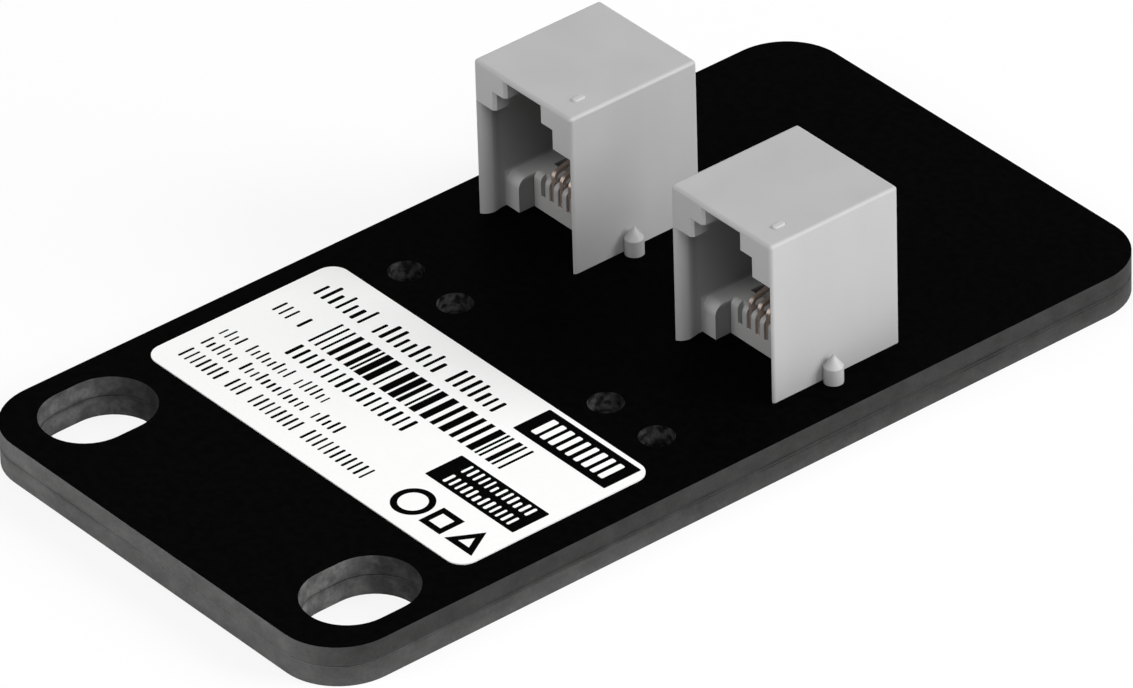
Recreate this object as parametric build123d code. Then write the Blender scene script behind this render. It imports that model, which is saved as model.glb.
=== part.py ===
from build123d import *
from math import cos, radians, sin, tan
import os

# Rack temperature sensor: two bonded circuit boards, two six-place modular jacks and a label.
# Millimetres. The long side runs along Y with the mounting slots at -Y. X runs across and Z up.
# The origin is the middle of the underside.

# Mounting plate: an upper and a lower board with a bonding film between them
plate_length = 82.0
plate_width = 43.5
plate_corner_radius = 5.2
upper_board_thickness = 1.7
lower_board_thickness = 1.7
film_thickness = 0.1
film_inset = 0.2

# Two slots for the rack screws, one rack unit's hole spacing apart
slot_pitch = 31.75
slot_length = 9.7
slot_width = 7.6
slot_end_margin = 7.7

# Two pairs of holes for cable ties
tie_hole_diameter = 2.9
tie_hole_gap = 6.0
tie_pair_pitch = 24.1
tie_row_y = -3.9

# Adhesive label
label_length = 38.3
label_width = 18.8
label_thickness = 0.1
label_corner_radius = 1.5
label_x = -0.4
label_y = -16.7

# Jack housing, outside
jack_pitch = 23.6
jack_front_y = 5.45
jack_width = 11.7
jack_depth = 12.65
jack_height = 14.2
jack_edge_radius = 0.3

# Jack housing, plug opening
side_wall = 0.6
back_wall = 0.8
mouth_lip = 0.12
mouth_lead_in = 1.05
mouth_bead = 0.15
mouth_bead_end = 1.9
bay_height = 10.5
latch_base_width = 6.8
latch_base_height = 1.75
latch_width = 4.1
latch_height = 1.57
latch_flare = 0.25
front_frame_depth = 1.7
latch_pocket_width = 7.6
latch_pocket_depth = 7.2

# Rails beside the contacts that carry the plug
rail_setback = 2.35
rail_height = 3.0
rail_reach = 1.55
rail_nose_radius = 0.9

# Pegs on the side walls that run on down as locating posts
peg_radius = 0.79
peg_offset = 0.6
peg_setback = 5.5
peg_height = 1.35
peg_cone_height = 1.05
post_length = 2.9
post_taper_height = 0.4
post_tip_radius = 0.55
post_clearance = 0.08

# Moulding gate mark on each jack's roof
gate_length = 1.2
gate_width = 0.6
gate_height = 0.15
gate_side_inset = 1.9
gate_setback = 2.4

# Contact insert with its comb of grooves
insert_clearance = 0.05
comb_setback = 3.85
comb_height = 3.15
comb_nose_radius = 0.6
comb_shelf_depth = 1.9
comb_lip_height = 1.35
trough_height = 2.4
rear_comb_depth = 2.1
rear_comb_height = 7.2
rear_slot_depth = 0.85
groove_count = 6
groove_width = 0.52
groove_clearance = 0.06

# Contacts, stamped flat and bent
contact_count = 4
contact_pitch = 1.02
wire_width = 0.36
wire_thickness = 0.34
wire_bend_radius = 0.45
wire_face_inset = 0.35
wire_run_height = 0.6
wire_corner_height = 3.9
wire_rise_angle = 14.0
wire_end_setback = 10.2
near_tail_setback = 8.2
tail_row_gap = 2.54
tail_protrusion = 0.75

# Solder joints at the wire tails
tail_hole_radius = 0.35
solder_pad_radius = 0.5
solder_height = 0.55

# Windows in the lower board, under the wire tails and round the temperature chip
tail_window_width = 5.6
tail_window_margin = 1.1
window_corner_radius = 0.8
sensor_window_width = 14.0
sensor_window_length = 9.5
sensor_window_end_margin = 14.0

# Temperature chip on the upper board's underside
chip_body_width = 3.9
chip_body_length = 4.9
chip_body_height = 1.35
chip_standoff = 0.12
chip_draft_angle = 7.0
chip_x = -2.6
chip_lead_count = 4
chip_lead_pitch = 1.27
chip_lead_width = 0.42
chip_lead_thickness = 0.2
chip_lead_span = 6.0
chip_lead_foot = 0.6
chip_lead_shoulder_height = 0.65

# Capacitor beside the chip
capacitor_length = 2.0
capacitor_width = 1.25
capacitor_height = 0.8
capacitor_cap_length = 0.4
capacitor_x = 4.2
capacitor_y_offset = 2.4

# Surge protection diode beside the chip
diode_body_length = 2.9
diode_body_width = 1.3
diode_body_height = 0.95
diode_standoff = 0.08
diode_x = 4.2
diode_y_offset = -1.9
diode_lead_pitch = 1.9
diode_lead_width = 0.4
diode_lead_thickness = 0.15
diode_lead_span = 2.4
diode_lead_foot = 0.35
diode_lead_shoulder_height = 0.45

# One overrun for every cut
overrun = 0.5

# Levels and places that follow
film_base = lower_board_thickness
upper_board_base = film_base + film_thickness
board_top = upper_board_base + upper_board_thickness
slot_y = slot_end_margin - plate_length / 2
sensor_y = plate_length / 2 - sensor_window_end_margin
bay_width = jack_width - 2 * side_wall
bay_depth = jack_depth - back_wall
insert_width = bay_width - 2 * rail_reach - 2 * insert_clearance
insert_back = bay_depth - insert_clearance
rear_comb_setback = insert_back - rear_comb_depth


def centred_places(count, pitch):
    """Places of a row of things about zero."""
    return [(index - (count - 1) / 2) * pitch for index in range(count)]


def jack_centres():
    """Name and middle of each jack across the plate."""
    return (("left", -jack_pitch / 2), ("right", jack_pitch / 2))


def tail_setback(index):
    """Distance of a wire's tail behind the jack's front: the tails stand in two staggered rows."""
    return near_tail_setback + (index % 2) * tail_row_gap


def plate_outline(inset):
    """Plate outline with its slots and tie holes, drawn in by one inset all round."""
    outline = RectangleRounded(plate_width - 2 * inset, plate_length - 2 * inset, plate_corner_radius - inset)
    slot = SlotOverall(slot_length + 2 * inset, slot_width + 2 * inset, rotation=90)
    for x in centred_places(2, slot_pitch):
        outline -= Pos(x, slot_y) * slot
    hole = Circle(tie_hole_diameter / 2 + inset)
    for pair_x in centred_places(2, tie_pair_pitch):
        for x in centred_places(2, tie_hole_gap):
            outline -= Pos(pair_x + x, tie_row_y) * hole
    return outline


def post_holes(clearance):
    """Holes for the four locating posts."""
    hole = Circle(peg_radius + clearance)
    holes = Sketch()
    for _, centre in jack_centres():
        for x in centred_places(2, jack_width + 2 * peg_offset):
            holes += Pos(centre + x, jack_front_y + peg_setback) * hole
    return holes


def tail_holes():
    """Plated holes for the wire tails in the upper board."""
    hole = Circle(tail_hole_radius)
    holes = Sketch()
    for _, centre in jack_centres():
        for index, x in enumerate(centred_places(contact_count, contact_pitch)):
            holes += Pos(centre + x, jack_front_y + tail_setback(index)) * hole
    return holes


def windows(inset):
    """Routed windows under the wire tails and round the temperature chip."""
    corner = window_corner_radius + inset
    tail_length = tail_row_gap + 2 * tail_window_margin
    tail_window = RectangleRounded(tail_window_width + 2 * inset, tail_length + 2 * inset, corner)
    tail_y = jack_front_y + near_tail_setback + tail_row_gap / 2
    openings = Sketch()
    for _, centre in jack_centres():
        openings += Pos(centre, tail_y) * tail_window
    sensor_length = sensor_window_length + 2 * inset
    sensor_window = RectangleRounded(sensor_window_width + 2 * inset, sensor_length, corner)
    return openings + Pos(0, sensor_y) * sensor_window


def upper_board():
    """Upper board: slots, tie holes, post holes and tail holes."""
    outline = plate_outline(0) - post_holes(post_clearance) - tail_holes()
    return Pos(0, 0, upper_board_base) * extrude(outline, upper_board_thickness)


def bonding_film():
    """Film between the boards, a little short of every edge, so that a fine seam shows."""
    outline = plate_outline(film_inset) - post_holes(post_clearance + film_inset) - windows(film_inset)
    return Pos(0, 0, film_base) * extrude(outline, film_thickness)


def lower_board():
    """Lower board with windows for what stands out of the upper board's underside."""
    outline = plate_outline(0) - post_holes(post_clearance) - windows(0)
    return extrude(outline, lower_board_thickness)


def label():
    """Adhesive label on the upper board, between the slots and the tie holes."""
    sheet = extrude(RectangleRounded(label_length, label_width, label_corner_radius), label_thickness)
    return Pos(label_x, label_y, board_top) * sheet


def upright_box(width, depth, height, front, base):
    """Box centred across the jack, from a setback behind its front and a height over the board."""
    box = Box(width, depth, height, align=(Align.CENTER, Align.MIN, Align.MIN))
    return Pos(0, front, base) * box


def side_profile(line):
    """Face in the jack's YZ plane from a closed outline drawn with Y as x and Z as y."""
    return Plane.YZ * make_face(line)


def housing_shell():
    """Outer block of the housing with rounded upright and top edges."""
    block = upright_box(jack_width, jack_depth, jack_height, 0, 0)
    rounded = block.edges().filter_by(Axis.Z) + block.faces().sort_by(Axis.Z)[-1].edges()
    return fillet(rounded, jack_edge_radius)


def plug_bay():
    """Plug bay, open in front and below, with a rounded bead along the mouth of both side walls.

    Each bead starts as an arc, a lip's width from the wall's outer face, and ends it as a tangent
    at the crest: with drop b and run a, its radius is (a * a + b * b) / (2 * b). From the crest
    it slopes back to the wall.
    """
    half = bay_width / 2
    crest = half - mouth_bead
    drop = side_wall - mouth_lip + mouth_bead
    radius = (mouth_lead_in * mouth_lead_in + drop * drop) / (2 * drop)
    turn = mouth_lead_in / 2 / radius
    middle = Vector(crest + radius * (1 - cos(turn)), mouth_lead_in - radius * sin(turn))
    right_lip = ThreePointArc((crest, mouth_lead_in), middle, (crest + drop, 0))
    left_lip = mirror(right_lip, Plane.YZ)
    back = Polyline((-crest, mouth_lead_in), (-half, mouth_bead_end), (-half, bay_depth),
                    (half, bay_depth), (half, mouth_bead_end), (crest, mouth_lead_in))
    outside = crest + drop
    front = Polyline((outside, 0), (outside, -overrun), (-outside, -overrun), (-outside, 0))
    plan = make_face(Curve() + [back, right_lip, front, left_lip])
    return Pos(0, 0, -overrun) * extrude(plan, bay_height + overrun)


def flared_slot(width, height, base):
    """Upright slot through the front, flared at its mouth and starting one overrun below its base."""
    half = width / 2
    wide = half + latch_flare
    plan = Polyline((-wide, -overrun), (wide, -overrun), (wide, 0), (half, latch_flare), (half, bay_depth),
                    (-half, bay_depth), (-half, latch_flare), (-wide, 0), close=True)
    return Pos(0, 0, base - overrun) * extrude(make_face(plan), height + overrun)


def latch_opening():
    """Stepped way for the plug's latch: a wide step, a narrow slot and the pocket behind them."""
    step = flared_slot(latch_base_width, latch_base_height, bay_height)
    slot = flared_slot(latch_width, latch_height, bay_height + latch_base_height)
    pocket_height = latch_base_height + latch_height
    pocket = upright_box(latch_pocket_width, latch_pocket_depth, pocket_height + overrun,
                         front_frame_depth, bay_height - overrun)
    return step + slot + pocket


def plug_rail():
    """Rail with a rounded nose along one side wall, from its front to the back wall."""
    nose_end = rail_setback + rail_nose_radius
    shoulder = rail_height - rail_nose_radius
    nose = RadiusArc((rail_setback, shoulder), (nose_end, rail_height), rail_nose_radius)
    rest = Polyline((nose_end, rail_height), (bay_depth + overrun, rail_height),
                    (bay_depth + overrun, 0), (rail_setback, 0), (rail_setback, shoulder))
    rail = extrude(side_profile(Curve() + [nose, rest]), rail_reach + overrun)
    return Pos(-bay_width / 2 - overrun, 0, 0) * rail


def side_peg():
    """Peg against one side wall with a conical head, running on down as a locating post."""
    shank = post_length - post_taper_height
    post = Pos(0, 0, -shank) * Cylinder(peg_radius, shank + peg_height,
                                        align=(Align.CENTER, Align.CENTER, Align.MIN))
    head = Pos(0, 0, peg_height) * Cone(peg_radius, 0, peg_cone_height,
                                        align=(Align.CENTER, Align.CENTER, Align.MIN))
    tip = Pos(0, 0, -post_length) * Cone(post_tip_radius, peg_radius, post_taper_height,
                                         align=(Align.CENTER, Align.CENTER, Align.MIN))
    return Pos(-jack_width / 2 - peg_offset, peg_setback, 0) * (post + head + tip)


def gate_mark():
    """Low mark left by the moulding gate, on the roof near the front right corner."""
    mark = extrude(SlotOverall(gate_length, gate_width, rotation=90), gate_height + overrun)
    rim = mark.faces().sort_by(Axis.Z)[-1].edges()
    mark = fillet(rim, gate_height)
    return Pos(jack_width / 2 - gate_side_inset, gate_setback, jack_height - overrun) * mark


def jack_housing():
    """One moulded housing: shell, plug bay, latch way, two rails, two pegs and the gate mark."""
    body = housing_shell() - plug_bay() - latch_opening() + gate_mark()
    for part in (plug_rail(), side_peg()):
        body = body + part + mirror(part, Plane.YZ)
    return body


def insert_profile():
    """Side outline of the insert: rounded comb nose, low trough and upright rear comb."""
    nose_end = comb_setback + comb_nose_radius
    shoulder = comb_height - comb_nose_radius
    shelf_end = comb_setback + comb_shelf_depth
    ramp_end = shelf_end + comb_height - trough_height
    nose = RadiusArc((comb_setback, shoulder), (nose_end, comb_height), comb_nose_radius)
    rest = Polyline((nose_end, comb_height), (shelf_end, comb_height), (ramp_end, trough_height),
                    (rear_comb_setback, trough_height), (rear_comb_setback, rear_comb_height),
                    (insert_back, rear_comb_height), (insert_back, 0), (comb_setback, 0),
                    (comb_setback, shoulder))
    return side_profile(Curve() + [nose, rest])


def wire_line(index):
    """Centre line of one contact wire, drawn with Y as x and Z as y.

    It climbs from the tail, runs forward under the insert, turns up behind the comb's lip and
    leaves the comb's nose backwards at the rise angle, up to the rear comb.
    """
    tail_y = tail_setback(index)
    face_y = comb_setback + wire_face_inset
    rise = (wire_end_setback - face_y) * tan(radians(wire_rise_angle))
    tail_depth = upper_board_thickness + tail_protrusion
    points = [(tail_y, -tail_depth), (tail_y, wire_run_height), (face_y, wire_run_height),
              (face_y, wire_corner_height), (wire_end_setback, wire_corner_height + rise)]
    return FilletPolyline(*points, radius=wire_bend_radius)


def wire_way(index):
    """Groove in the insert for one wire: a channel below its run and a slot up the comb's nose.

    The slot is open in front above the comb's lip. Both inner corners are cut straight across,
    from where a bend starts, so that the bent wire clears them.
    """
    reach = wire_thickness / 2 + groove_clearance
    face_y = comb_setback + wire_face_inset
    slot_back = face_y + reach
    tail_end = tail_setback(index) + reach
    channel_top = wire_run_height + reach
    bend_drop = wire_bend_radius * tan(radians(90 - wire_rise_angle) / 2)
    bend_start = wire_corner_height - bend_drop
    exit_run = (bend_drop + overrun) / tan(radians(90 + wire_rise_angle) / 2)
    outline = Polyline((face_y - reach, -overrun), (tail_end, -overrun), (tail_end, channel_top),
                       (face_y + wire_bend_radius, channel_top),
                       (slot_back, wire_run_height + wire_bend_radius), (slot_back, bend_start),
                       (slot_back + exit_run, wire_corner_height + overrun),
                       (comb_setback - overrun, wire_corner_height + overrun),
                       (comb_setback - overrun, comb_lip_height), (face_y - reach, comb_lip_height),
                       close=True)
    return extrude(side_profile(outline), groove_width / 2, both=True)


def rear_slot():
    """Slot in the rear comb for one wire's end."""
    height = rear_comb_height - trough_height
    return upright_box(groove_width, rear_slot_depth + overrun, height + overrun,
                       rear_comb_setback - overrun, trough_height)


def contact_insert():
    """Insert with a wire way at every place of its comb, also at the two that hold no wire."""
    body = extrude(insert_profile(), insert_width / 2, both=True)
    unused = (groove_count - contact_count) // 2
    for place, x in enumerate(centred_places(groove_count, contact_pitch)):
        body -= Pos(x, 0, 0) * wire_way(place - unused)
        body -= Pos(x, 0, 0) * rear_slot()
    return body


def contact_wire(index):
    """One contact wire: its centre line given the strip's thickness and width."""
    strip = Plane.YZ * trace(wire_line(index), wire_thickness)
    return extrude(strip, wire_width / 2, both=True)


def solder_joint():
    """Solder round one tail: it fills the plated hole and ends in a cone under the board."""
    inside = upper_board_thickness
    outline = Polyline((0, 0), (tail_hole_radius, 0), (tail_hole_radius, -inside),
                       (solder_pad_radius, -inside), (0, -inside - solder_height), (0, 0))
    tail = Box(wire_width, wire_thickness, 2 * (inside + solder_height))
    return revolve(Plane.XZ * make_face(outline), Axis.Z) - tail


def solder_joints():
    """The solder joints of one jack."""
    places = enumerate(centred_places(contact_count, contact_pitch))
    return Compound([Pos(x, tail_setback(index), 0) * solder_joint() for index, x in places])


def lead_line(span, foot, thickness, shoulder_height, inner):
    """Side outline of a gull-wing lead that hangs from a board: foot, rise and shoulder.

    It is drawn with the distance from the package's middle as x and the depth below the board as -y.
    """
    heel = span / 2 - foot
    lower = shoulder_height + thickness
    return Polyline((span / 2, 0), (span / 2, -thickness), (heel, -thickness), (heel, -lower),
                    (inner, -lower), (inner, -shoulder_height), (heel - thickness, -shoulder_height),
                    (heel - thickness, 0), (span / 2, 0))


def chip_body():
    """Moulded body of the temperature chip, with drafted sides."""
    body = extrude(Rectangle(chip_body_width, chip_body_length), -chip_body_height, taper=chip_draft_angle)
    return Pos(chip_x, sensor_y, upper_board_base - chip_standoff) * body


def chip_leads():
    """Eight leads of the temperature chip, four on each side, cut to meet the body's drafted side."""
    lead = lead_line(chip_lead_span, chip_lead_foot, chip_lead_thickness, chip_lead_shoulder_height, 0)
    blade = extrude(Plane.XZ * make_face(lead), chip_lead_width / 2, both=True)
    body = chip_body()
    leads = []
    for y in centred_places(chip_lead_count, chip_lead_pitch):
        for turn in (0, 180):
            placed = Pos(chip_x, sensor_y + y, upper_board_base) * Rot(0, 0, turn) * blade
            leads.append(placed - body)
    return Compound(leads)


def capacitor():
    """Ceramic capacitor: a body between two metal end caps."""
    body_length = capacitor_length - 2 * capacitor_cap_length
    cap_pitch = body_length + capacitor_cap_length
    hang = (Align.CENTER, Align.CENTER, Align.MAX)
    pieces = [Box(body_length, capacitor_width, capacitor_height, align=hang)]
    for x in centred_places(2, cap_pitch):
        pieces.append(Pos(x, 0, 0) * Box(capacitor_cap_length, capacitor_width, capacitor_height, align=hang))
    place = Pos(capacitor_x, sensor_y + capacitor_y_offset, upper_board_base)
    return [place * piece for piece in pieces]


def diode_body():
    """Moulded body of the surge diode."""
    hang = (Align.CENTER, Align.CENTER, Align.MAX)
    body = Box(diode_body_length, diode_body_width, diode_body_height, align=hang)
    return Pos(diode_x, sensor_y + diode_y_offset, upper_board_base - diode_standoff) * body


def diode_leads():
    """Three leads of the surge diode: two on one long side and one on the other."""
    lead = lead_line(diode_lead_span, diode_lead_foot, diode_lead_thickness, diode_lead_shoulder_height,
                     diode_body_width / 2)
    blade = extrude(Plane.YZ * make_face(lead), diode_lead_width / 2, both=True)
    place = Pos(diode_x, sensor_y + diode_y_offset, upper_board_base)
    leads = [place * blade]
    for x in centred_places(2, diode_lead_pitch):
        leads.append(place * Pos(x, 0, 0) * Rot(0, 0, 180) * blade)
    return Compound(leads)


def save(shape, name):
    """Write one piece under its own name."""
    export_step(shape, f"parts/{name}.step")


def main():
    os.makedirs("parts", exist_ok=True)
    save(upper_board(), "upper_board")
    save(bonding_film(), "bonding_film")
    save(lower_board(), "lower_board")
    save(label(), "label")
    housing = jack_housing()
    insert = contact_insert()
    wires = [contact_wire(index) for index in range(contact_count)]
    joints = solder_joints()
    for side, centre in jack_centres():
        seat = Pos(centre, jack_front_y, board_top)
        save(seat * housing, f"jack_housing_{side}")
        save(seat * insert, f"contact_insert_{side}")
        save(seat * joints, f"solder_joints_{side}")
        for index, x in enumerate(centred_places(contact_count, contact_pitch)):
            save(seat * Pos(x, 0, 0) * wires[index], f"contact_{side}_{index + 1}")
    save(chip_body(), "temperature_chip")
    save(chip_leads(), "temperature_chip_leads")
    body, *caps = capacitor()
    save(body, "capacitor_body")
    save(Compound(caps), "capacitor_end_caps")
    save(diode_body(), "surge_diode")
    save(diode_leads(), "surge_diode_leads")


main()
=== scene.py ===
"""Rack temperature sensor: finishes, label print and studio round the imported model."""

from functools import reduce
from math import cos, pi, radians, sin

import bpy
import numpy as np
from bpy.props import FloatProperty, FloatVectorProperty, IntProperty, PointerProperty
from bpy.types import Operator, Panel, PropertyGroup
from mathutils import Matrix, Vector


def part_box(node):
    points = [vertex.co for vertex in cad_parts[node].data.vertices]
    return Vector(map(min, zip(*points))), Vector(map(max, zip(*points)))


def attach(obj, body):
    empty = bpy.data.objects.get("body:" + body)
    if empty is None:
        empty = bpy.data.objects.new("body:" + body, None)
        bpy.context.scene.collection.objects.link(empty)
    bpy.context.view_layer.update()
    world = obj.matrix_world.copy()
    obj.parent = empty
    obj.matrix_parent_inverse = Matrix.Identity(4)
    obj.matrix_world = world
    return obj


bl_info = {
    "name": "Rack Temperature Sensor",
    "version": (1, 0, 0),
    "blender": (4, 5, 0),
    "location": "View3D > Sidebar > Sensor",
    "description": "Finishes, label print and studio for a rack temperature sensor",
    "category": "Object",
}

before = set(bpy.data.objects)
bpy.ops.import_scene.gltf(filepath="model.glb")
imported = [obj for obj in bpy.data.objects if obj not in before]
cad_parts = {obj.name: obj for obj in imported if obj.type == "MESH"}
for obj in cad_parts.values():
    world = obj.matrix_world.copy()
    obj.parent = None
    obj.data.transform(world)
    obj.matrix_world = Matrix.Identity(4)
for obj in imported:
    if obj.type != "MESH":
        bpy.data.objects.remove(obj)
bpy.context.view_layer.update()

MM = 0.001
PHOTO_WIDTH = 1133
SENSOR_WIDTH = 36.0
SIDES = ("left", "right")
CONTACTS = tuple(f"contact_{side}_{place}" for side in SIDES for place in range(1, 5))

# Places that the model gives: the label sheet, the seam between the boards and one jack
LABEL_LOW, LABEL_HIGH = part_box("label")
LABEL_TOP = LABEL_HIGH.z
SEAM_HEIGHT = sum(corner.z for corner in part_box("bonding_film")) / 2
GATE_HEIGHT = 0.15 * MM
JACK_LOW, JACK_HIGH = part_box("jack_housing_right")
JACK_MIDDLE = (JACK_LOW.x + JACK_HIGH.x) / 2
FRONT = JACK_LOW.y
ROOF = JACK_HIGH.z - GATE_HEIGHT
RAIL_TOP = LABEL_LOW.z + 3.0 * MM
TIE_ROW = -3.9 * MM


def zone(low, high, start=0.0):
    """Two places in mm from a start, between which one finish passes into another."""
    return start + low * MM, start + high * MM


# The boards: the outer edge, the rims beside and beyond the windows, the windows' near side, the
# edge's layers and foot, and where the edge, the slots and the seam change their tone, partly by
# painted light and shade
OUTER_X = zone(19.8, 20.6)
OUTER_Y = zone(38.5, 38.8)
RIM_X = zone(20.9, 21.0)
RIM_Y = zone(40.1, 40.3)
WINDOWS_Y = zone(6.0, 6.2)
LAYER_Z = zone(1.5, 2.0)
FOOT_Z = zone(0.2, 1.1)
PAST_LABEL_Y = zone(-14.0, -4.0)
# Painted light: the outer edge turns paler between these two places towards its left end
LEFT_END_PAINTED_LIGHT_X = zone(-18.0, -9.0)
BETWEEN_SLOTS_X = zone(-12.0, 12.0)
LEFT_HALF_X = zone(-8.0, 0.0)
SEAM_FADE_Y = zone(-35.0, -24.0)
SLOTTED_EDGE_Y = zone(-40.6, -38.6)

# Distances from the seam's middle and from the row of tie holes; the seam zone bounds the seam faces'
# painted light and the tie zone the tie holes' specks and painted shade
SEAM_LINE = zone(0.06, 0.36)
SEAM_ZONE = zone(0.3, 0.5)
TIE_ZONE = zone(2.0, 2.4)

# The jacks: distances of the bay's wall and of the rails' sides from a jack's middle, and heights
# and depths of the bay, the rails and the gate mark
# These bound the painted shade in the bay and on the rails' sides, and the pale gate mark
BAY_WALL = zone(5.4, 5.6)
RAIL_WALL = zone(4.5, 4.7)
BAY_FRONT_Y = zone(0.8, 1.5, FRONT)
BAY_BACK_Y = zone(12.0, 12.4, FRONT)
RAIL_NOSE_Y = zone(2.2, 2.3, FRONT)
RAIL_SIDE_Z = zone(-0.3, -0.05, RAIL_TOP)
ABOVE_RAILS_Z = zone(0.02, 0.3, RAIL_TOP)
CEILING_Z = zone(-0.34, -0.24, ROOF)
GATE_Z = zone(0.0, 0.1, ROOF)

# Rows of small blocks that stand for the label's wording: left and right end from the label's
# left edge, middle from its top edge, height, share of tall blocks, ink share and the lengths of
# the words in blocks. Lengths are in mm.
TITLE_ROWS = ((1.9, 24.2, 2.9, 2.15, 0.4, 0.4, (7, 9, 7)),)
SERIAL_ROWS = (
    (1.6, 5.4, 7.0, 1.5, 1.0, 0.34, (3, 1)),
    (6.9, 21.6, 9.85, 1.75, 1.0, 0.38, (17,)),
)
SMALL_ROWS = (
    (1.5, 14.6, 12.2, 1.3, 0.35, 0.3, (4, 8, 6)),
    (1.6, 18.4, 14.05, 1.3, 0.35, 0.35, (6, 12, 5)),
    (1.7, 24.4, 16.2, 1.55, 1.0, 0.33, (7, 3, 8, 11)),
)

# Height of a low block as a share of its row's, and widths of blocks as shares of the even one
LOW_BLOCK_SHARE = 0.72
BLOCK_WIDTH_SHARES = (0.8, 1.2)

# Black fields: left, right, upper and lower edge
BLACK_FIELDS = ((26.6, 37.4, 0.45, 4.1), (26.9, 37.3, 9.3, 12.9))
FIELD_ROWS = (
    (27.7, 36.5, 2.25, 2.3, 1.0, 0.56, (9,)),
    (28.3, 36.5, 10.2, 1.15, 0.7, 0.4, (12,)),
    (28.3, 36.5, 11.95, 1.15, 0.7, 0.44, (12,)),
)

# The striped field, with the same edges, and the units that stripes and gaps are drawn from
STRIPE_FIELD = (7.05, 30.2, 4.95, 8.35)
STRIPE_UNITS = (1.0, 1.0, 2.0, 3.0)
GAP_UNITS = (1.0, 2.0, 2.0)

# Open marks: middle from the left and upper edge, radius, sides
OPEN_MARKS = ((29.2, 15.9, 1.75, 48), (32.6, 15.9, 1.75, 4), (36.0, 16.2, 1.85, 3))

# Lamps: name, direction from the sensor, and the setting that holds the power
LAMPS = (
    ("right_light", (0.7, 0.6, 0.5), "right_power"),
    ("front_light", (-0.15, -0.85, 0.75), "front_power"),
    ("top_light", (0.6, -0.2, 0.8), "top_power"),
)


class StudioSettings(PropertyGroup):
    """Camera, floor and light of the studio."""

    azimuth: FloatProperty(
        name="Azimuth", description="Camera's turn round the sensor, from the slotted end",
        default=radians(51.373), unit="ROTATION", subtype="ANGLE")
    elevation: FloatProperty(
        name="Elevation", description="Camera's height angle over the board",
        default=radians(34.024), unit="ROTATION", subtype="ANGLE")
    roll: FloatProperty(
        name="Roll", description="Camera's turn about its own axis",
        default=radians(-1.748), unit="ROTATION", subtype="ANGLE")
    distance: FloatProperty(
        name="Distance", description="From the target to the camera",
        default=945.3 * MM, min=0.1, unit="LENGTH", subtype="DISTANCE")
    target: FloatVectorProperty(
        name="Target", description="Point at the middle of the picture",
        default=(-3.114 * MM, 2.168 * MM, 0.0), size=3, unit="LENGTH", subtype="XYZ")
    focal_pixels: FloatProperty(
        name="Focal Length", description="Focal length in pixels of the photograph",
        default=12302.5, min=100.0)
    floor_size: FloatProperty(
        name="Floor Size", description="Side of the floor", default=6.0, min=1.0,
        unit="LENGTH", subtype="DISTANCE")
    floor_gap: FloatProperty(
        name="Floor Gap", description="From the floor up to the plate", default=0.02 * MM, min=0.0,
        unit="LENGTH", subtype="DISTANCE")
    floor_colour: FloatVectorProperty(
        name="Floor Colour", description="Colour of the floor", default=(0.93, 0.93, 0.93),
        size=3, min=0.0, max=1.0, subtype="COLOR")
    floor_glow: FloatProperty(
        name="Floor Glow", description="Share of plain white in the floor that the camera sees",
        default=0.8, min=0.0, max=1.0, subtype="FACTOR")
    sky: FloatProperty(
        name="Sky", description="Strength of the even light from all round", default=0.2, min=0.0)
    right_power: FloatProperty(
        name="Right Light", description="Power of the light beyond the right edge", default=7.2,
        min=0.0, unit="POWER")
    front_power: FloatProperty(
        name="Front Light", description="Power of the light before the slotted end", default=3.0,
        min=0.0, unit="POWER")
    top_power: FloatProperty(
        name="Top Light", description="Power of the high light", default=2.9, min=0.0, unit="POWER")
    lamp_size: FloatProperty(
        name="Lamp Size", description="Side of each square lamp", default=0.5, min=0.01,
        unit="LENGTH", subtype="DISTANCE")
    lamp_distance: FloatProperty(
        name="Lamp Distance", description="From the target to each lamp", default=0.9, min=0.1,
        unit="LENGTH", subtype="DISTANCE")


class FinishSettings(PropertyGroup):
    """Colours of the sensor's finishes."""

    mask: FloatVectorProperty(
        name="Solder Mask", description="Black mask on both faces of the plate",
        default=(0.0008, 0.0008, 0.0008), size=3, min=0.0, max=1.0, subtype="COLOR")
    core: FloatVectorProperty(
        name="Board Core", description="Cut edge of the boards", default=(0.125, 0.125, 0.124),
        size=3, min=0.0, max=1.0, subtype="COLOR")
    film: FloatVectorProperty(
        name="Bonding Film", description="Film between the boards", default=(0.3, 0.3, 0.298),
        size=3, min=0.0, max=1.0, subtype="COLOR")
    paper: FloatVectorProperty(
        name="Label Paper", description="Coated paper of the label", default=(0.91, 0.91, 0.905),
        size=3, min=0.0, max=1.0, subtype="COLOR")
    ink: FloatVectorProperty(
        name="Ink", description="Black print on the label", default=(0.0008, 0.0008, 0.0008),
        size=3, min=0.0, max=1.0, subtype="COLOR")
    housing: FloatVectorProperty(
        name="Housing", description="Light grey plastic of the jacks", default=(0.42, 0.42, 0.42),
        size=3, min=0.0, max=1.0, subtype="COLOR")
    gate: FloatVectorProperty(
        name="Gate Mark", description="Pale torn plastic of the gate marks",
        default=(0.47, 0.47, 0.467), size=3, min=0.0, max=1.0, subtype="COLOR")
    insert: FloatVectorProperty(
        name="Insert", description="Grey plastic of the contact inserts",
        default=(0.42, 0.42, 0.415), size=3, min=0.0, max=1.0, subtype="COLOR")
    contact: FloatVectorProperty(
        name="Contacts", description="Plated copper of the contact strips",
        default=(0.66, 0.52, 0.45), size=3, min=0.0, max=1.0, subtype="COLOR")
    tin: FloatVectorProperty(
        name="Tin", description="Solder, leads and end caps", default=(0.72, 0.72, 0.71),
        size=3, min=0.0, max=1.0, subtype="COLOR")
    epoxy: FloatVectorProperty(
        name="Epoxy", description="Moulded chip bodies", default=(0.022, 0.022, 0.023),
        size=3, min=0.0, max=1.0, subtype="COLOR")
    ceramic: FloatVectorProperty(
        name="Ceramic", description="Body of the capacitor", default=(0.33, 0.23, 0.14),
        size=3, min=0.0, max=1.0, subtype="COLOR")


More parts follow.
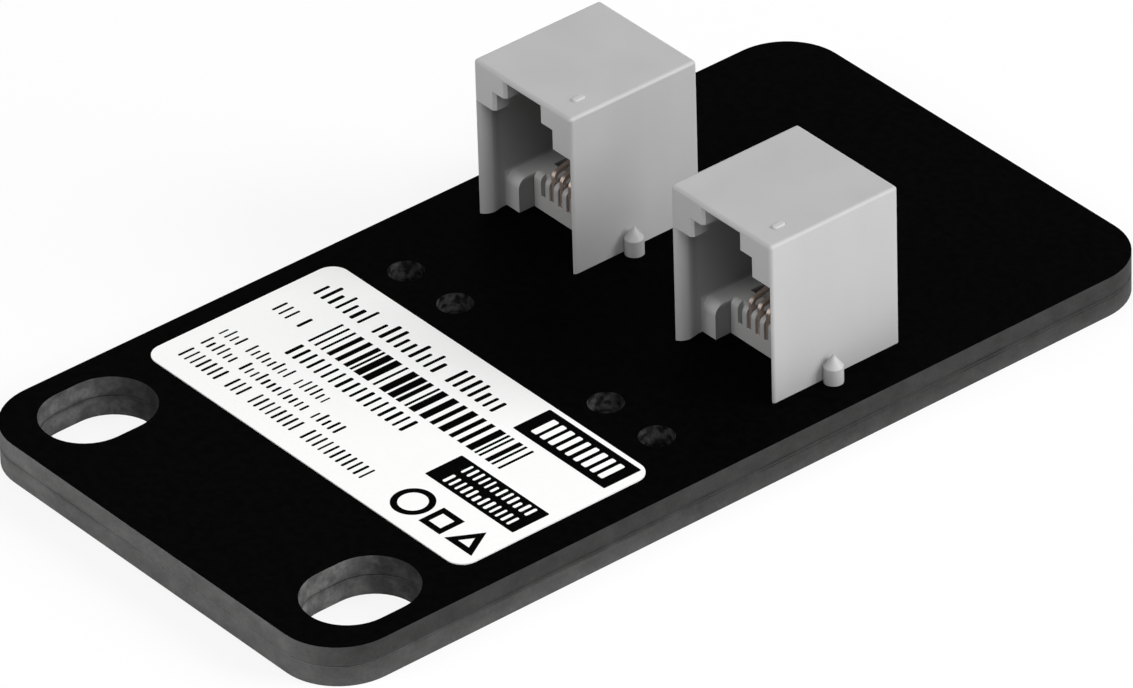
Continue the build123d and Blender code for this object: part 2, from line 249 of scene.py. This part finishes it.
class PrintSettings(PropertyGroup):
    """Print on the label."""

    ink_height: FloatProperty(
        name="Ink Height", description="Thickness of the print", default=0.015 * MM,
        min=0.0, unit="LENGTH", subtype="DISTANCE")
    corner_radius: FloatProperty(
        name="Corner Radius", description="Rounding of the printed blocks", default=0.12 * MM,
        min=0.0, unit="LENGTH", subtype="DISTANCE")
    stroke: FloatProperty(
        name="Stroke", description="Line width of the open marks", default=0.55 * MM,
        min=0.0, unit="LENGTH", subtype="DISTANCE")
    stripe_count: IntProperty(
        name="Stripes", description="Number of stripes in the striped field", default=26, min=1)
    seed: IntProperty(name="Seed", description="Start of the print's random choices", default=11)


# Shader helpers


def new_material(name, colour, roughness, metallic=0.0, specular=0.5):
    """A material with its plain values on the shader's own sockets.

    Returns the material, its node tree, its shader and the Texture Coordinate node.
    """
    material = bpy.data.materials.new(name)
    material.use_nodes = True
    tree = material.node_tree
    shader = tree.nodes["Principled BSDF"]
    shader.inputs["Base Color"].default_value = (*colour, 1.0)
    shader.inputs["Roughness"].default_value = roughness
    shader.inputs["Metallic"].default_value = metallic
    shader.inputs["Specular IOR Level"].default_value = specular
    return material, tree, shader, tree.nodes.new("ShaderNodeTexCoord")


def noise(tree, coordinates, scale, detail=3.0, stretch=None):
    """Noise on object coordinates, with the scale in features a metre and an optional stretch."""
    texture = tree.nodes.new("ShaderNodeTexNoise")
    texture.inputs["Scale"].default_value = scale
    texture.inputs["Detail"].default_value = detail
    source = coordinates.outputs["Object"]
    if stretch is not None:
        mapping = tree.nodes.new("ShaderNodeMapping")
        mapping.inputs["Scale"].default_value = stretch
        tree.links.new(source, mapping.inputs["Vector"])
        source = mapping.outputs["Vector"]
    tree.links.new(source, texture.inputs["Vector"])
    return texture.outputs["Fac"]


def ramp(tree, factor, *stops):
    """Colour ramp through stops of place and colour."""
    node = tree.nodes.new("ShaderNodeValToRGB")
    elements = node.color_ramp.elements
    while len(elements) < len(stops):
        elements.new(0.5)
    for element, (place, colour) in zip(elements, stops):
        element.position = place
        element.color = (*colour, 1.0)
    tree.links.new(factor, node.inputs["Fac"])
    return node.outputs["Color"]


def split(tree, vector):
    """The X, Y and Z outputs of a vector, by name."""
    node = tree.nodes.new("ShaderNodeSeparateXYZ")
    tree.links.new(vector, node.inputs["Vector"])
    return node.outputs


def feed(tree, socket, value):
    """Link a socket to another one, or set it to a number."""
    if isinstance(value, (int, float)):
        socket.default_value = value
    else:
        tree.links.new(value, socket)


def maths(tree, operation, first, second=0.0):
    """Math node on two sockets or numbers."""
    node = tree.nodes.new("ShaderNodeMath")
    node.operation = operation
    feed(tree, node.inputs[0], first)
    feed(tree, node.inputs[1], second)
    return node.outputs["Value"]


def product(tree, *factors):
    """Product of sockets and numbers."""
    return reduce(lambda first, second: maths(tree, "MULTIPLY", first, second), factors)


def greatest(tree, *values):
    """Greatest of sockets and numbers."""
    return reduce(lambda first, second: maths(tree, "MAXIMUM", first, second), values)


def off(tree, value, middle):
    """How far a value lies from a middle, on either side."""
    return maths(tree, "ABSOLUTE", maths(tree, "SUBTRACT", value, middle))


def spread(tree, factor, low, high, low_out, high_out):
    """Map Range from one range of a factor to another, held at its ends."""
    node = tree.nodes.new("ShaderNodeMapRange")
    tree.links.new(factor, node.inputs["Value"])
    ends = {"From Min": low, "From Max": high, "To Min": low_out, "To Max": high_out}
    for name, value in ends.items():
        node.inputs[name].default_value = value
    return node.outputs["Result"]


def rise(tree, factor, low, high):
    """Nought below a range and one above it."""
    return spread(tree, factor, low, high, 0.0, 1.0)


def fall(tree, factor, low, high):
    """One below a range and nought above it."""
    return spread(tree, factor, low, high, 1.0, 0.0)


def mix_number(tree, factor, first, second):
    """Mix of two numbers, each a socket or a fixed number."""
    node = tree.nodes.new("ShaderNodeMix")
    tree.links.new(factor, node.inputs[0])
    feed(tree, node.inputs[2], first)
    feed(tree, node.inputs[3], second)
    return node.outputs[0]


def mix_colour(tree, factor, first, second, blend="MIX"):
    """Mix of two colours, each a socket or a fixed colour."""
    node = tree.nodes.new("ShaderNodeMix")
    node.data_type = "RGBA"
    node.blend_type = blend
    feed(tree, node.inputs[0], factor)
    for socket, value in ((node.inputs[6], first), (node.inputs[7], second)):
        if isinstance(value, tuple):
            socket.default_value = (*value, 1.0)
        else:
            tree.links.new(value, socket)
    return node.outputs[2]


def seen_directly(tree):
    """One for camera, glossy and transmission rays, and nought for light that reaches a surface."""
    path = tree.nodes.new("ShaderNodeLightPath")
    rays = ("Is Camera Ray", "Is Glossy Ray", "Is Transmission Ray")
    return greatest(tree, *(path.outputs[ray] for ray in rays))


def mix_shaders(tree, factor, first, second, output):
    """Mix of two shaders into the tree's output node."""
    mix = tree.nodes.new("ShaderNodeMixShader")
    tree.links.new(factor, mix.inputs["Fac"])
    tree.links.new(first, mix.inputs[1])
    tree.links.new(second, mix.inputs[2])
    tree.links.new(mix.outputs["Shader"], tree.nodes[output].inputs["Surface"])


def add_bump(tree, shader, height, distance, strength):
    """Bump from a height socket; the distance is the depth of the relief."""
    node = tree.nodes.new("ShaderNodeBump")
    node.inputs["Strength"].default_value = strength
    node.inputs["Distance"].default_value = distance
    tree.links.new(height, node.inputs["Height"])
    tree.links.new(node.outputs["Normal"], shader.inputs["Normal"])


def times(colour, factor):
    """A colour made lighter or darker."""
    return tuple(min(1.0, channel * factor) for channel in colour)


def dress(names, material):
    """Give CAD nodes one material."""
    for name in names:
        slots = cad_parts[name].data.materials
        slots.clear()
        slots.append(material)


# Materials


def cut_surface(tree, place, facing, aside, off_seam):
    """One on every wall, and one wherever the board is cut, as two sockets.

    The board is cut on its walls and on the faces in the seam, but not on the faces in the windows.
    """
    is_wall = fall(tree, off(tree, facing["Z"], 0.0), 0.5, 0.8)
    off_windows = greatest(tree, rise(tree, aside, *RIM_X), fall(tree, place["Y"], *WINDOWS_Y),
                           rise(tree, place["Y"], *RIM_Y))
    in_seam = product(tree, fall(tree, off_seam, *SEAM_ZONE), off_windows)
    return is_wall, greatest(tree, is_wall, in_seam)


def outer_edge_tone_and_painted_light(tree, place, facing, outer):
    """Tone of the outer edge: painted shade where it faces across, and painted light at the slotted
    end's left.

    The upper layer is darker. The lower one darkens past the label and is paler at its foot. In
    the slots and holes the tone is one.
    """
    # Painted shade: faces that look across the plate are darker
    across = greatest(tree, rise(tree, facing["X"], 0.0, 1.0), fall(tree, facing["X"], -1.0, -0.5))
    lower = maths(tree, "ADD", spread(tree, place["Y"], *PAST_LABEL_Y, 0.53, 0.37),
                  spread(tree, place["Z"], *FOOT_Z, 0.12, 0.0))
    layer = mix_number(tree, rise(tree, place["Z"], *LAYER_Z), lower, 0.33)
    # Painted light: paler towards the left end of the outer edge
    left_end_painted_light = mix_number(tree, outer, 1.0, spread(tree, place["X"], *LEFT_END_PAINTED_LIGHT_X, 1.28, 1.0))
    return mix_number(tree, product(tree, outer, across), left_end_painted_light, layer)


def cavity_tone_and_painted_shade(tree, coordinates, place, facing):
    """Tone in the slots and holes: blotched, with painted shade on the walls that face the slotted
    end.

    The drilled holes are speckled and darkened by painted shade as well. All of it is a little darker
    towards the left.
    """
    blotch = spread(tree, noise(tree, coordinates, 800.0, 5.0), 0.42, 0.6, 0.74, 1.14)
    # Painted shade on the walls that face the slotted end
    end_wall_painted_shade = spread(tree, facing["Y"], -0.95, -0.25, 0.42, 1.0)
    side = spread(tree, place["X"], *BETWEEN_SLOTS_X, 0.82, 1.0)
    # Specks and painted shade in the drilled tie holes
    hole_specks_and_painted_shade = spread(tree, noise(tree, coordinates, 1500.0, 4.0), 0.4, 0.62, 0.12, 0.8)
    by_ties = fall(tree, off(tree, place["Y"], TIE_ROW), *TIE_ZONE)
    return product(tree, blotch, end_wall_painted_shade, side, mix_number(tree, by_ties, 1.0, hole_specks_and_painted_shade))


def seam_tone_and_painted_light(tree, coordinates, place, outer, off_seam, is_wall):
    """Tone of the seam's inner faces, with painted light that lifts them out of their recess's shade,
    and of a soft broken dark line beside it on the walls.

    Both come near the edge's own tone on the outer edge at the slotted end, most at its right.
    """
    rightward = spread(tree, place["X"], *LEFT_HALF_X, 0.45, 1.0)
    faded = product(tree, outer, fall(tree, place["Y"], *SEAM_FADE_Y), rightward)
    # Painted light: the faces in the seam's recess are lifted towards the edge's tone, most at the
    # slotted end's right
    front = product(tree, spread(tree, place["Y"], *SLOTTED_EDGE_Y, 0.87, 0.0), rightward)
    faces = maths(tree, "ADD", front, spread(tree, faded, 0.0, 1.0, 0.75, 1.08))
    wear = noise(tree, coordinates, 240.0, 3.0, (1.0, 1.0, 0.2))
    dark = product(tree, fall(tree, off_seam, *SEAM_LINE), spread(tree, wear, 0.4, 0.62, 0.12, 0.5),
                   fall(tree, faded, 0.0, 1.0))
    return mix_number(tree, is_wall, faces, maths(tree, "SUBTRACT", 1.0, dark))


def board_material(finish):
    """Matt black mask on both faces, and routed laminate on every wall and in the seam.

    The laminate has light and dark patches and a fine grain, calmer on the plate's outer edge, with
    painted light and shade on the edge, in the slots and holes and in the seam.
    """
    material, tree, shader, coordinates = new_material(
        "board_mask_and_edge", finish.mask, 0.6, specular=0.004)
    facing = split(tree, coordinates.outputs["Normal"])
    place = split(tree, coordinates.outputs["Object"])
    aside = off(tree, place["X"], 0.0)
    off_seam = off(tree, place["Z"], SEAM_HEIGHT)
    is_wall, is_cut = cut_surface(tree, place, facing, aside, off_seam)
    along = off(tree, place["Y"], 0.0)
    outer = greatest(tree, rise(tree, aside, *OUTER_X), rise(tree, along, *OUTER_Y))

    patches = noise(tree, coordinates, 620.0, 4.0, (1.0, 1.0, 1.3))
    grain = noise(tree, coordinates, 3400.0, 2.0)
    relief = maths(tree, "ADD", product(tree, patches, 0.65), product(tree, grain, 0.35))
    core = tuple(finish.core)
    mottled = ramp(tree, relief, (0.34, times(core, 0.74)), (0.5, core), (0.68, times(core, 1.34)))
    mottled = mix_colour(tree, product(tree, outer, 0.4), mottled, core)

    # Painted light and shade of the edge, the slots and holes and the seam, together with their real
    # tones
    shade = product(tree, outer_edge_tone_and_painted_light(tree, place, facing, outer),
                    mix_number(tree, outer, cavity_tone_and_painted_shade(tree, coordinates, place, facing), 1.0),
                    seam_tone_and_painted_light(tree, coordinates, place, outer, off_seam, is_wall))
    edge = mix_colour(tree, 1.0, mottled, shade, "MULTIPLY")
    weave = rise(tree, noise(tree, coordinates, 1500.0, 2.0), 0.35, 0.65)
    mask = mix_colour(tree, weave, tuple(finish.mask), times(finish.mask, 1.8))
    tree.links.new(mix_colour(tree, is_cut, mask, edge), shader.inputs["Base Color"])
    tree.links.new(spread(tree, grain, 0.3, 0.7, 0.52, 0.68), shader.inputs["Roughness"])
    add_bump(tree, shader, product(tree, relief, is_wall), 0.05 * MM, 0.5)
    return material


def film_material(finish):
    """Resin seen in the seam, in darker and paler patches."""
    material, tree, shader, coordinates = new_material("bonding_film", finish.film, 0.7, specular=0.1)
    patches = noise(tree, coordinates, 900.0)
    dark, pale = times(finish.film, 0.4), times(finish.film, 1.8)
    tone = ramp(tree, patches, (0.35, dark), (0.65, pale))
    tree.links.new(tone, shader.inputs["Base Color"])
    return material


def paper_material(finish):
    """White coated paper with a faint tooth."""
    material, tree, shader, coordinates = new_material("label_paper", finish.paper, 0.55, specular=0.2)
    tooth = noise(tree, coordinates, 3000.0, 2.0)
    paper = tuple(finish.paper)
    tone = ramp(tree, tooth, (0.3, times(paper, 0.985)), (0.7, paper))
    tree.links.new(tone, shader.inputs["Base Color"])
    add_bump(tree, shader, tooth, 0.004 * MM, 0.5)
    return material


def ink_material(finish):
    """Black thermal print, a little uneven."""
    material, tree, shader, coordinates = new_material("label_ink", finish.ink, 0.6, specular=0.003)
    patches = noise(tree, coordinates, 5200.0, 2.0)
    ink = tuple(finish.ink)
    tone = ramp(tree, patches, (0.4, ink), (0.75, times(ink, 3.0)))
    tree.links.new(tone, shader.inputs["Base Color"])
    return material


def moulded_material(name, colour):
    """Light moulded plastic: fine spark-eroded grain and slight flow marks.

    Returns the material, its node tree, its shader, the Texture Coordinate node and the colour.
    """
    roughness, swing = 0.5, 0.06
    material, tree, shader, coordinates = new_material(name, colour, roughness, specular=0.35)
    flow = noise(tree, coordinates, 160.0, 2.0, (1.0, 1.0, 0.35))
    plain = ramp(tree, flow, (0.3, times(colour, 0.96)), (0.7, times(colour, 1.035)))
    tree.links.new(plain, shader.inputs["Base Color"])
    grain = noise(tree, coordinates, 5200.0, 2.0)
    tree.links.new(spread(tree, grain, 0.3, 0.7, roughness - swing, roughness + swing),
                   shader.inputs["Roughness"])
    add_bump(tree, shader, grain, 0.01 * MM, 0.55)
    return material, tree, shader, coordinates, plain


def housing_material(finish):
    """The jacks' plastic: painted shade in the bay and on the rails' sides, paler where the gate broke
    off.
    """
    material, tree, shader, coordinates, plain = moulded_material("housing_plastic", finish.housing)
    place = split(tree, coordinates.outputs["Object"])
    off_middle = off(tree, off(tree, place["X"], 0.0), JACK_MIDDLE)
    # Painted shade in the bay: its walls and ceiling behind the mouth and above the rails
    off_rails = greatest(tree, rise(tree, place["Z"], *ABOVE_RAILS_Z),
                         fall(tree, place["Y"], *RAIL_NOSE_Y))
    bay_painted_shade = product(tree, fall(tree, off_middle, *BAY_WALL), off_rails,
                     fall(tree, place["Z"], *CEILING_Z), rise(tree, place["Y"], *BAY_FRONT_Y),
                     fall(tree, place["Y"], *BAY_BACK_Y))
    across = off(tree, split(tree, coordinates.outputs["Normal"])["X"], 0.0)
    # Painted shade on the rails' sides
    rail_side_painted_shade = product(tree, fall(tree, off_middle, *RAIL_WALL),
                        fall(tree, place["Z"], *RAIL_SIDE_Z), rise(tree, across, 0.5, 0.95))
    # The painted shade darkens the plastic to 0.62 of its colour in the bay and to 0.55 on the rails'
    # sides
    painted_shade_colour = mix_colour(tree, bay_painted_shade, plain, times(finish.housing, 0.62))
    painted_shade_colour = mix_colour(tree, rail_side_painted_shade, painted_shade_colour, times(finish.housing, 0.55))
    gate = rise(tree, place["Z"], *GATE_Z)
    tree.links.new(mix_colour(tree, gate, painted_shade_colour, tuple(finish.gate)), shader.inputs["Base Color"])
    return material


def metal_material(name, colour, roughness, metallic):
    """Plated metal with rolled streaks, darker and rougher in places."""
    colour = tuple(colour)
    material, tree, shader, coordinates = new_material(name, colour, roughness, metallic=metallic)
    streaks = noise(tree, coordinates, 2400.0, 3.0, (1.0, 0.25, 0.25))
    tone = ramp(tree, streaks, (0.35, times(colour, 0.7)), (0.6, colour))
    tree.links.new(tone, shader.inputs["Base Color"])
    tree.links.new(spread(tree, streaks, 0.3, 0.7, roughness + 0.1, roughness - 0.04),
                   shader.inputs["Roughness"])
    return material


def grained_material(name, colour, roughness, scale):
    """Fine even grain, for chip and capacitor bodies."""
    material, tree, shader, coordinates = new_material(name, colour, roughness, specular=0.3)
    grain = noise(tree, coordinates, scale)
    tone = ramp(tree, grain, (0.35, times(colour, 0.8)), (0.65, times(colour, 1.2)))
    tree.links.new(tone, shader.inputs["Base Color"])
    add_bump(tree, shader, grain, 0.01 * MM, 0.5)
    return material


# Printed pieces


def printed_piece(name, points, faces, material):
    """A mesh piece from an array of points and a list of faces, riding on the sensor's one body."""
    mesh = bpy.data.meshes.new(name)
    mesh.from_pydata(points.reshape(-1, 3).tolist(), [], faces)
    mesh.materials.append(material)
    mesh.update()
    piece = bpy.data.objects.new(name, mesh)
    bpy.context.scene.collection.objects.link(piece)
    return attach(piece, "root")


def blocks(name, centres, halves, radius, base, height, material, corner_steps=3):
    """Flat blocks with rounded corners, all as one mesh of closed prisms.

    The outline's point at angle a lies at centre + sign * (half - r) + r * (cos a, sin a), where
    sign is the corner's quadrant and r is the radius, held just under the smaller half, so that
    no two points meet. Each prism is that outline at the base and again at base + height.
    """
    most_rounding = 0.98
    count = len(centres)
    angles = np.arange(4 * (corner_steps + 1))
    quadrant = angles // (corner_steps + 1)
    angle = (quadrant + (angles % (corner_steps + 1)) / corner_steps) * pi / 2
    to_right = (quadrant == 0) | (quadrant == 3)
    signs = np.stack([np.where(to_right, 1, -1), np.where(quadrant < 2, 1, -1)], 1)
    turned = np.stack([np.cos(angle), np.sin(angle)], 1)
    rounding = np.minimum(radius, most_rounding * halves.min(1))[:, None, None]
    outline = centres[:, None] + signs * (halves[:, None] - rounding) + rounding * turned
    size = outline.shape[1]
    levels = np.array([base, base + height])
    points = np.concatenate([
        np.broadcast_to(outline[:, None], (count, 2, size, 2)),
        np.broadcast_to(levels[None, :, None, None], (count, 2, size, 1))], 3)
    first = (np.arange(count) * 2 * size)[:, None]
    around = np.arange(size)
    after = (around + 1) % size
    wall = np.stack([around, after, after + size, around + size], 1)
    walls = (first[..., None] + wall).reshape(-1, 4)
    lids = first + size + around
    floors = first + around[::-1]
    faces = walls.tolist() + lids.tolist() + floors.tolist()
    return printed_piece(name, points, faces, material)


def open_marks(name, marks, stroke, base, height, material):
    """Closed rings with any number of sides, such as a circle, a square and a triangle.

    A ring's point at turn t is its centre + r * (sin t, cos t), with r the outer or the inner
    radius. The section is a rectangle, followed round as four corners for each turn. A square is
    turned by half a side, so that it stands on a side.
    """
    points, faces, start = [], [], 0
    for x, y, radius, sides in marks:
        turn = 2 * pi * (np.arange(sides) + (0.5 if sides == 4 else 0.0)) / sides
        inner = radius - stroke / cos(pi / sides)
        radii = np.array([radius, radius, inner, inner])
        heights = np.array([base, base + height, base + height, base])
        ring = np.stack([
            x + radii * np.sin(turn)[:, None],
            y + radii * np.cos(turn)[:, None],
            np.broadcast_to(heights, (sides, 4))], 2)
        corner = start + np.arange(sides * 4).reshape(sides, 4)
        ahead = np.roll(corner, -1, 0)
        side = np.stack([corner, np.roll(corner, -1, 1), np.roll(ahead, -1, 1), ahead], 2)
        points.append(ring.reshape(-1, 3))
        faces += side.reshape(-1, 4).tolist()
        start += sides * 4
    return printed_piece(name, np.concatenate(points), faces, material)


def label_place(x, y):
    """Place in the model of a point given in mm from the label's left and upper edges."""
    return LABEL_LOW.x + np.asarray(x) * MM, LABEL_HIGH.y - np.asarray(y) * MM


def row_blocks(rng, rows):
    """Centres and half sizes of the blocks in rows of greeked wording.

    A row is divided evenly into one cell for each block and one for each gap between words. A
    block stands on the row's base line, at full height or as a low block.
    """
    centres, halves = [], []
    for left, right, middle, height, tall_share, ink_share, words in rows:
        cells = sum(words) + len(words) - 1
        pitch = (right - left) / cells
        gaps = np.cumsum(words)[:-1] + np.arange(len(words) - 1)
        kept = np.delete(np.arange(cells), gaps)
        x = left + pitch * (kept + 0.5)
        half_x = pitch * ink_share / 2 * rng.uniform(*BLOCK_WIDTH_SHARES, len(kept))
        half_y = height / 2 * np.where(rng.random(len(kept)) < tall_share, 1.0, LOW_BLOCK_SHARE)
        centres.append(np.stack(label_place(x, middle + height / 2 - half_y), 1))
        halves.append(np.stack([half_x, half_y], 1) * MM)
    return np.concatenate(centres), np.concatenate(halves)


def stripe_blocks(rng, field, count):
    """Upright stripes and gaps of a few units each, scaled to fill a field."""
    left, right, top, bottom = field
    widths = rng.choice(STRIPE_UNITS, 2 * count - 1)
    widths[1::2] = rng.choice(GAP_UNITS, count - 1)
    widths *= (right - left) / widths.sum()
    edges = left + np.concatenate([[0.0], np.cumsum(widths)])
    starts, ends = edges[0::2], edges[1::2]
    x, y = label_place((starts + ends) / 2, np.full(count, (top + bottom) / 2))
    halves = np.stack([(ends - starts) / 2, np.full(count, (bottom - top) / 2)], 1) * MM
    return np.stack([x, y], 1), halves


# Operators


class SENSOR_OT_stage(Operator):
    """Set up the floor, the light and the camera"""

    bl_idname = "sensor.stage"
    bl_label = "Stage"

    def execute(self, context):
        studio = context.scene.sensor_studio
        self.make_floor(studio)
        self.make_world(context.scene, studio)
        for name, direction, power in LAMPS:
            self.make_lamp(name, direction, getattr(studio, power), studio)
        self.make_camera(context.scene, studio)
        context.scene.view_settings.view_transform = "Standard"
        return {"FINISHED"}

    def make_floor(self, studio):
        """Pale floor just under the plate, which keeps the sensor's shadow."""
        half = studio.floor_size / 2
        corner = np.array([[-1, -1], [1, -1], [1, 1], [-1, 1]]) * half
        points = np.column_stack([corner, np.full(4, -studio.floor_gap)])
        mesh = bpy.data.meshes.new("floor")
        mesh.from_pydata(points.tolist(), [], [(0, 1, 2, 3)])
        material, tree, shader, _ = new_material("floor", studio.floor_colour, 0.9, specular=0.0)
        glow = tree.nodes.new("ShaderNodeEmission")
        share = product(tree, seen_directly(tree), studio.floor_glow)
        mix_shaders(tree, share, shader.outputs["BSDF"], glow.outputs["Emission"], "Material Output")
        mesh.materials.append(material)
        floor = bpy.data.objects.new("floor", mesh)
        bpy.context.scene.collection.objects.link(floor)

    def make_world(self, scene, studio):
        """Even light all round, and plain white where the camera or a reflection sees the sky."""
        world = bpy.data.worlds.new("studio")
        world.use_nodes = True
        tree = world.node_tree
        lit = tree.nodes["Background"]
        lit.inputs["Color"].default_value = (1.0, 1.0, 1.0, 1.0)
        lit.inputs["Strength"].default_value = studio.sky
        shown = tree.nodes.new("ShaderNodeBackground")
        shown.inputs["Color"].default_value = (1.0, 1.0, 1.0, 1.0)
        shown.inputs["Strength"].default_value = 1.0
        mix_shaders(tree, seen_directly(tree), lit.outputs["Background"],
                    shown.outputs["Background"], "World Output")
        scene.world = world

    def make_lamp(self, name, direction, power, studio):
        """Square area light that faces the sensor from a direction."""
        data = bpy.data.lights.new(name, "AREA")
        data.shape = "SQUARE"
        data.size = studio.lamp_size
        data.energy = power
        lamp = bpy.data.objects.new(name, data)
        way = Vector(direction).normalized()
        lamp.location = Vector(studio.target) + way * studio.lamp_distance
        lamp.rotation_euler = way.to_track_quat("Z", "Y").to_euler()
        bpy.context.scene.collection.objects.link(lamp)

    def make_camera(self, scene, studio):
        """Camera on its line through the target; back is (sin a cos e, -cos a cos e, sin e)."""
        azimuth, elevation, roll = studio.azimuth, studio.elevation, studio.roll
        level = cos(elevation)
        back = Vector((sin(azimuth) * level, -cos(azimuth) * level, sin(elevation)))
        right = Vector((0.0, 0.0, 1.0)).cross(back).normalized()
        up = back.cross(right)
        across = right * cos(roll) + up * sin(roll)
        upward = up * cos(roll) - right * sin(roll)
        data = bpy.data.cameras.new("camera")
        data.sensor_fit = "HORIZONTAL"
        data.sensor_width = SENSOR_WIDTH
        data.lens = studio.focal_pixels * SENSOR_WIDTH / PHOTO_WIDTH
        data.clip_start = 0.01
        data.clip_end = 20.0
        camera = bpy.data.objects.new("camera", data)
        camera.matrix_world = Matrix((across, upward, back)).transposed().to_4x4()
        camera.location = Vector(studio.target) + back * studio.distance
        scene.collection.objects.link(camera)
        scene.camera = camera


class SENSOR_OT_boards(Operator):
    """Finish the two boards and the film between them"""

    bl_idname = "sensor.boards"
    bl_label = "Boards"

    def execute(self, context):
        finish = context.scene.sensor_finish
        dress(("upper_board", "lower_board"), board_material(finish))
        dress(("bonding_film",), film_material(finish))
        return {"FINISHED"}


class SENSOR_OT_label(Operator):
    """Finish the label and print it with plain blocks, stripes and open marks"""

    bl_idname = "sensor.label"
    bl_label = "Label"

    def execute(self, context):
        finish = context.scene.sensor_finish
        prints = context.scene.sensor_print
        paper = paper_material(finish)
        ink = ink_material(finish)
        dress(("label",), paper)
        rng = np.random.default_rng(prints.seed)
        rows = {
            "label_title": TITLE_ROWS,
            "label_serial_rows": SERIAL_ROWS,
            "label_small_rows": SMALL_ROWS,
        }
        for name, lines in rows.items():
            centres, halves = row_blocks(rng, lines)
            blocks(name, centres, halves, prints.corner_radius, LABEL_TOP, prints.ink_height, ink)
        centres, halves = stripe_blocks(rng, STRIPE_FIELD, prints.stripe_count)
        blocks("label_stripes", centres, halves, 0.0, LABEL_TOP, prints.ink_height, ink, 1)

        fields = np.array(BLACK_FIELDS)
        x, y = label_place(fields[:, :2].mean(1), fields[:, 2:].mean(1))
        halves = np.stack([np.ptp(fields[:, :2], 1), np.ptp(fields[:, 2:], 1)], 1) / 2 * MM
        blocks("label_fields", np.stack([x, y], 1), halves, prints.corner_radius, LABEL_TOP,
               prints.ink_height, ink)
        centres, halves = row_blocks(rng, FIELD_ROWS)
        blocks("label_field_rows", centres, halves, prints.corner_radius,
               LABEL_TOP + prints.ink_height, prints.ink_height, paper)

        marks = []
        for x, y, radius, sides in OPEN_MARKS:
            marks.append((*label_place(x, y), radius * MM, sides))
        open_marks("label_open_marks", marks, prints.stroke, LABEL_TOP, prints.ink_height, ink)
        return {"FINISHED"}


class SENSOR_OT_jacks(Operator):
    """Finish the two jack housings and their contact inserts"""

    bl_idname = "sensor.jacks"
    bl_label = "Jacks"

    def execute(self, context):
        finish = context.scene.sensor_finish
        housing = housing_material(finish)
        insert = moulded_material("insert_plastic", finish.insert)[0]
        dress([f"jack_housing_{side}" for side in SIDES], housing)
        dress([f"contact_insert_{side}" for side in SIDES], insert)
        return {"FINISHED"}


class SENSOR_OT_metal(Operator):
    """Finish the contacts, the solder joints and the leads"""

    bl_idname = "sensor.metal"
    bl_label = "Contacts and Solder"

    def execute(self, context):
        finish = context.scene.sensor_finish
        copper = metal_material("plated_copper", finish.contact, roughness=0.27, metallic=0.7)
        tin = metal_material("bright_tin", finish.tin, roughness=0.26, metallic=1.0)
        dress(CONTACTS, copper)
        dress([f"solder_joints_{side}" for side in SIDES], tin)
        dress(("temperature_chip_leads", "capacitor_end_caps", "surge_diode_leads"), tin)
        return {"FINISHED"}


class SENSOR_OT_electronics(Operator):
    """Finish the temperature chip, the diode and the capacitor"""

    bl_idname = "sensor.electronics"
    bl_label = "Chip, Diode and Capacitor"

    def execute(self, context):
        finish = context.scene.sensor_finish
        epoxy = grained_material("moulded_epoxy", finish.epoxy, roughness=0.55, scale=6000.0)
        dress(("temperature_chip", "surge_diode"), epoxy)
        ceramic = grained_material("ceramic", finish.ceramic, roughness=0.5, scale=9000.0)
        dress(("capacitor_body",), ceramic)
        return {"FINISHED"}


class SENSOR_PT_panel(Panel):
    """Steps and settings of the rack temperature sensor"""

    bl_idname = "SENSOR_PT_panel"
    bl_label = "Rack Temperature Sensor"
    bl_space_type = "VIEW_3D"
    bl_region_type = "UI"
    bl_category = "Sensor"

    def draw(self, context):
        layout = self.layout
        for step in STEPS:
            layout.operator(step.bl_idname)
        for key, group in GROUPS.items():
            box = layout.box()
            for name in group.__annotations__:
                box.prop(getattr(context.scene, key), name)


GROUPS = {
    "sensor_studio": StudioSettings,
    "sensor_finish": FinishSettings,
    "sensor_print": PrintSettings,
}
STEPS = (
    SENSOR_OT_stage,
    SENSOR_OT_boards,
    SENSOR_OT_label,
    SENSOR_OT_jacks,
    SENSOR_OT_metal,
    SENSOR_OT_electronics,
)


def register():
    for kind in (*GROUPS.values(), *STEPS, SENSOR_PT_panel):
        bpy.utils.register_class(kind)
    for name, group in GROUPS.items():
        setattr(bpy.types.Scene, name, PointerProperty(type=group))


def unregister():
    for name in GROUPS:
        delattr(bpy.types.Scene, name)
    for kind in (SENSOR_PT_panel, *reversed(STEPS), *reversed(GROUPS.values())):
        bpy.utils.unregister_class(kind)


def main():
    """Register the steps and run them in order."""
    register()
    bpy.ops.sensor.stage()
    bpy.ops.sensor.boards()
    bpy.ops.sensor.label()
    bpy.ops.sensor.jacks()
    bpy.ops.sensor.metal()
    bpy.ops.sensor.electronics()


if __name__ == "__main__":
    main()
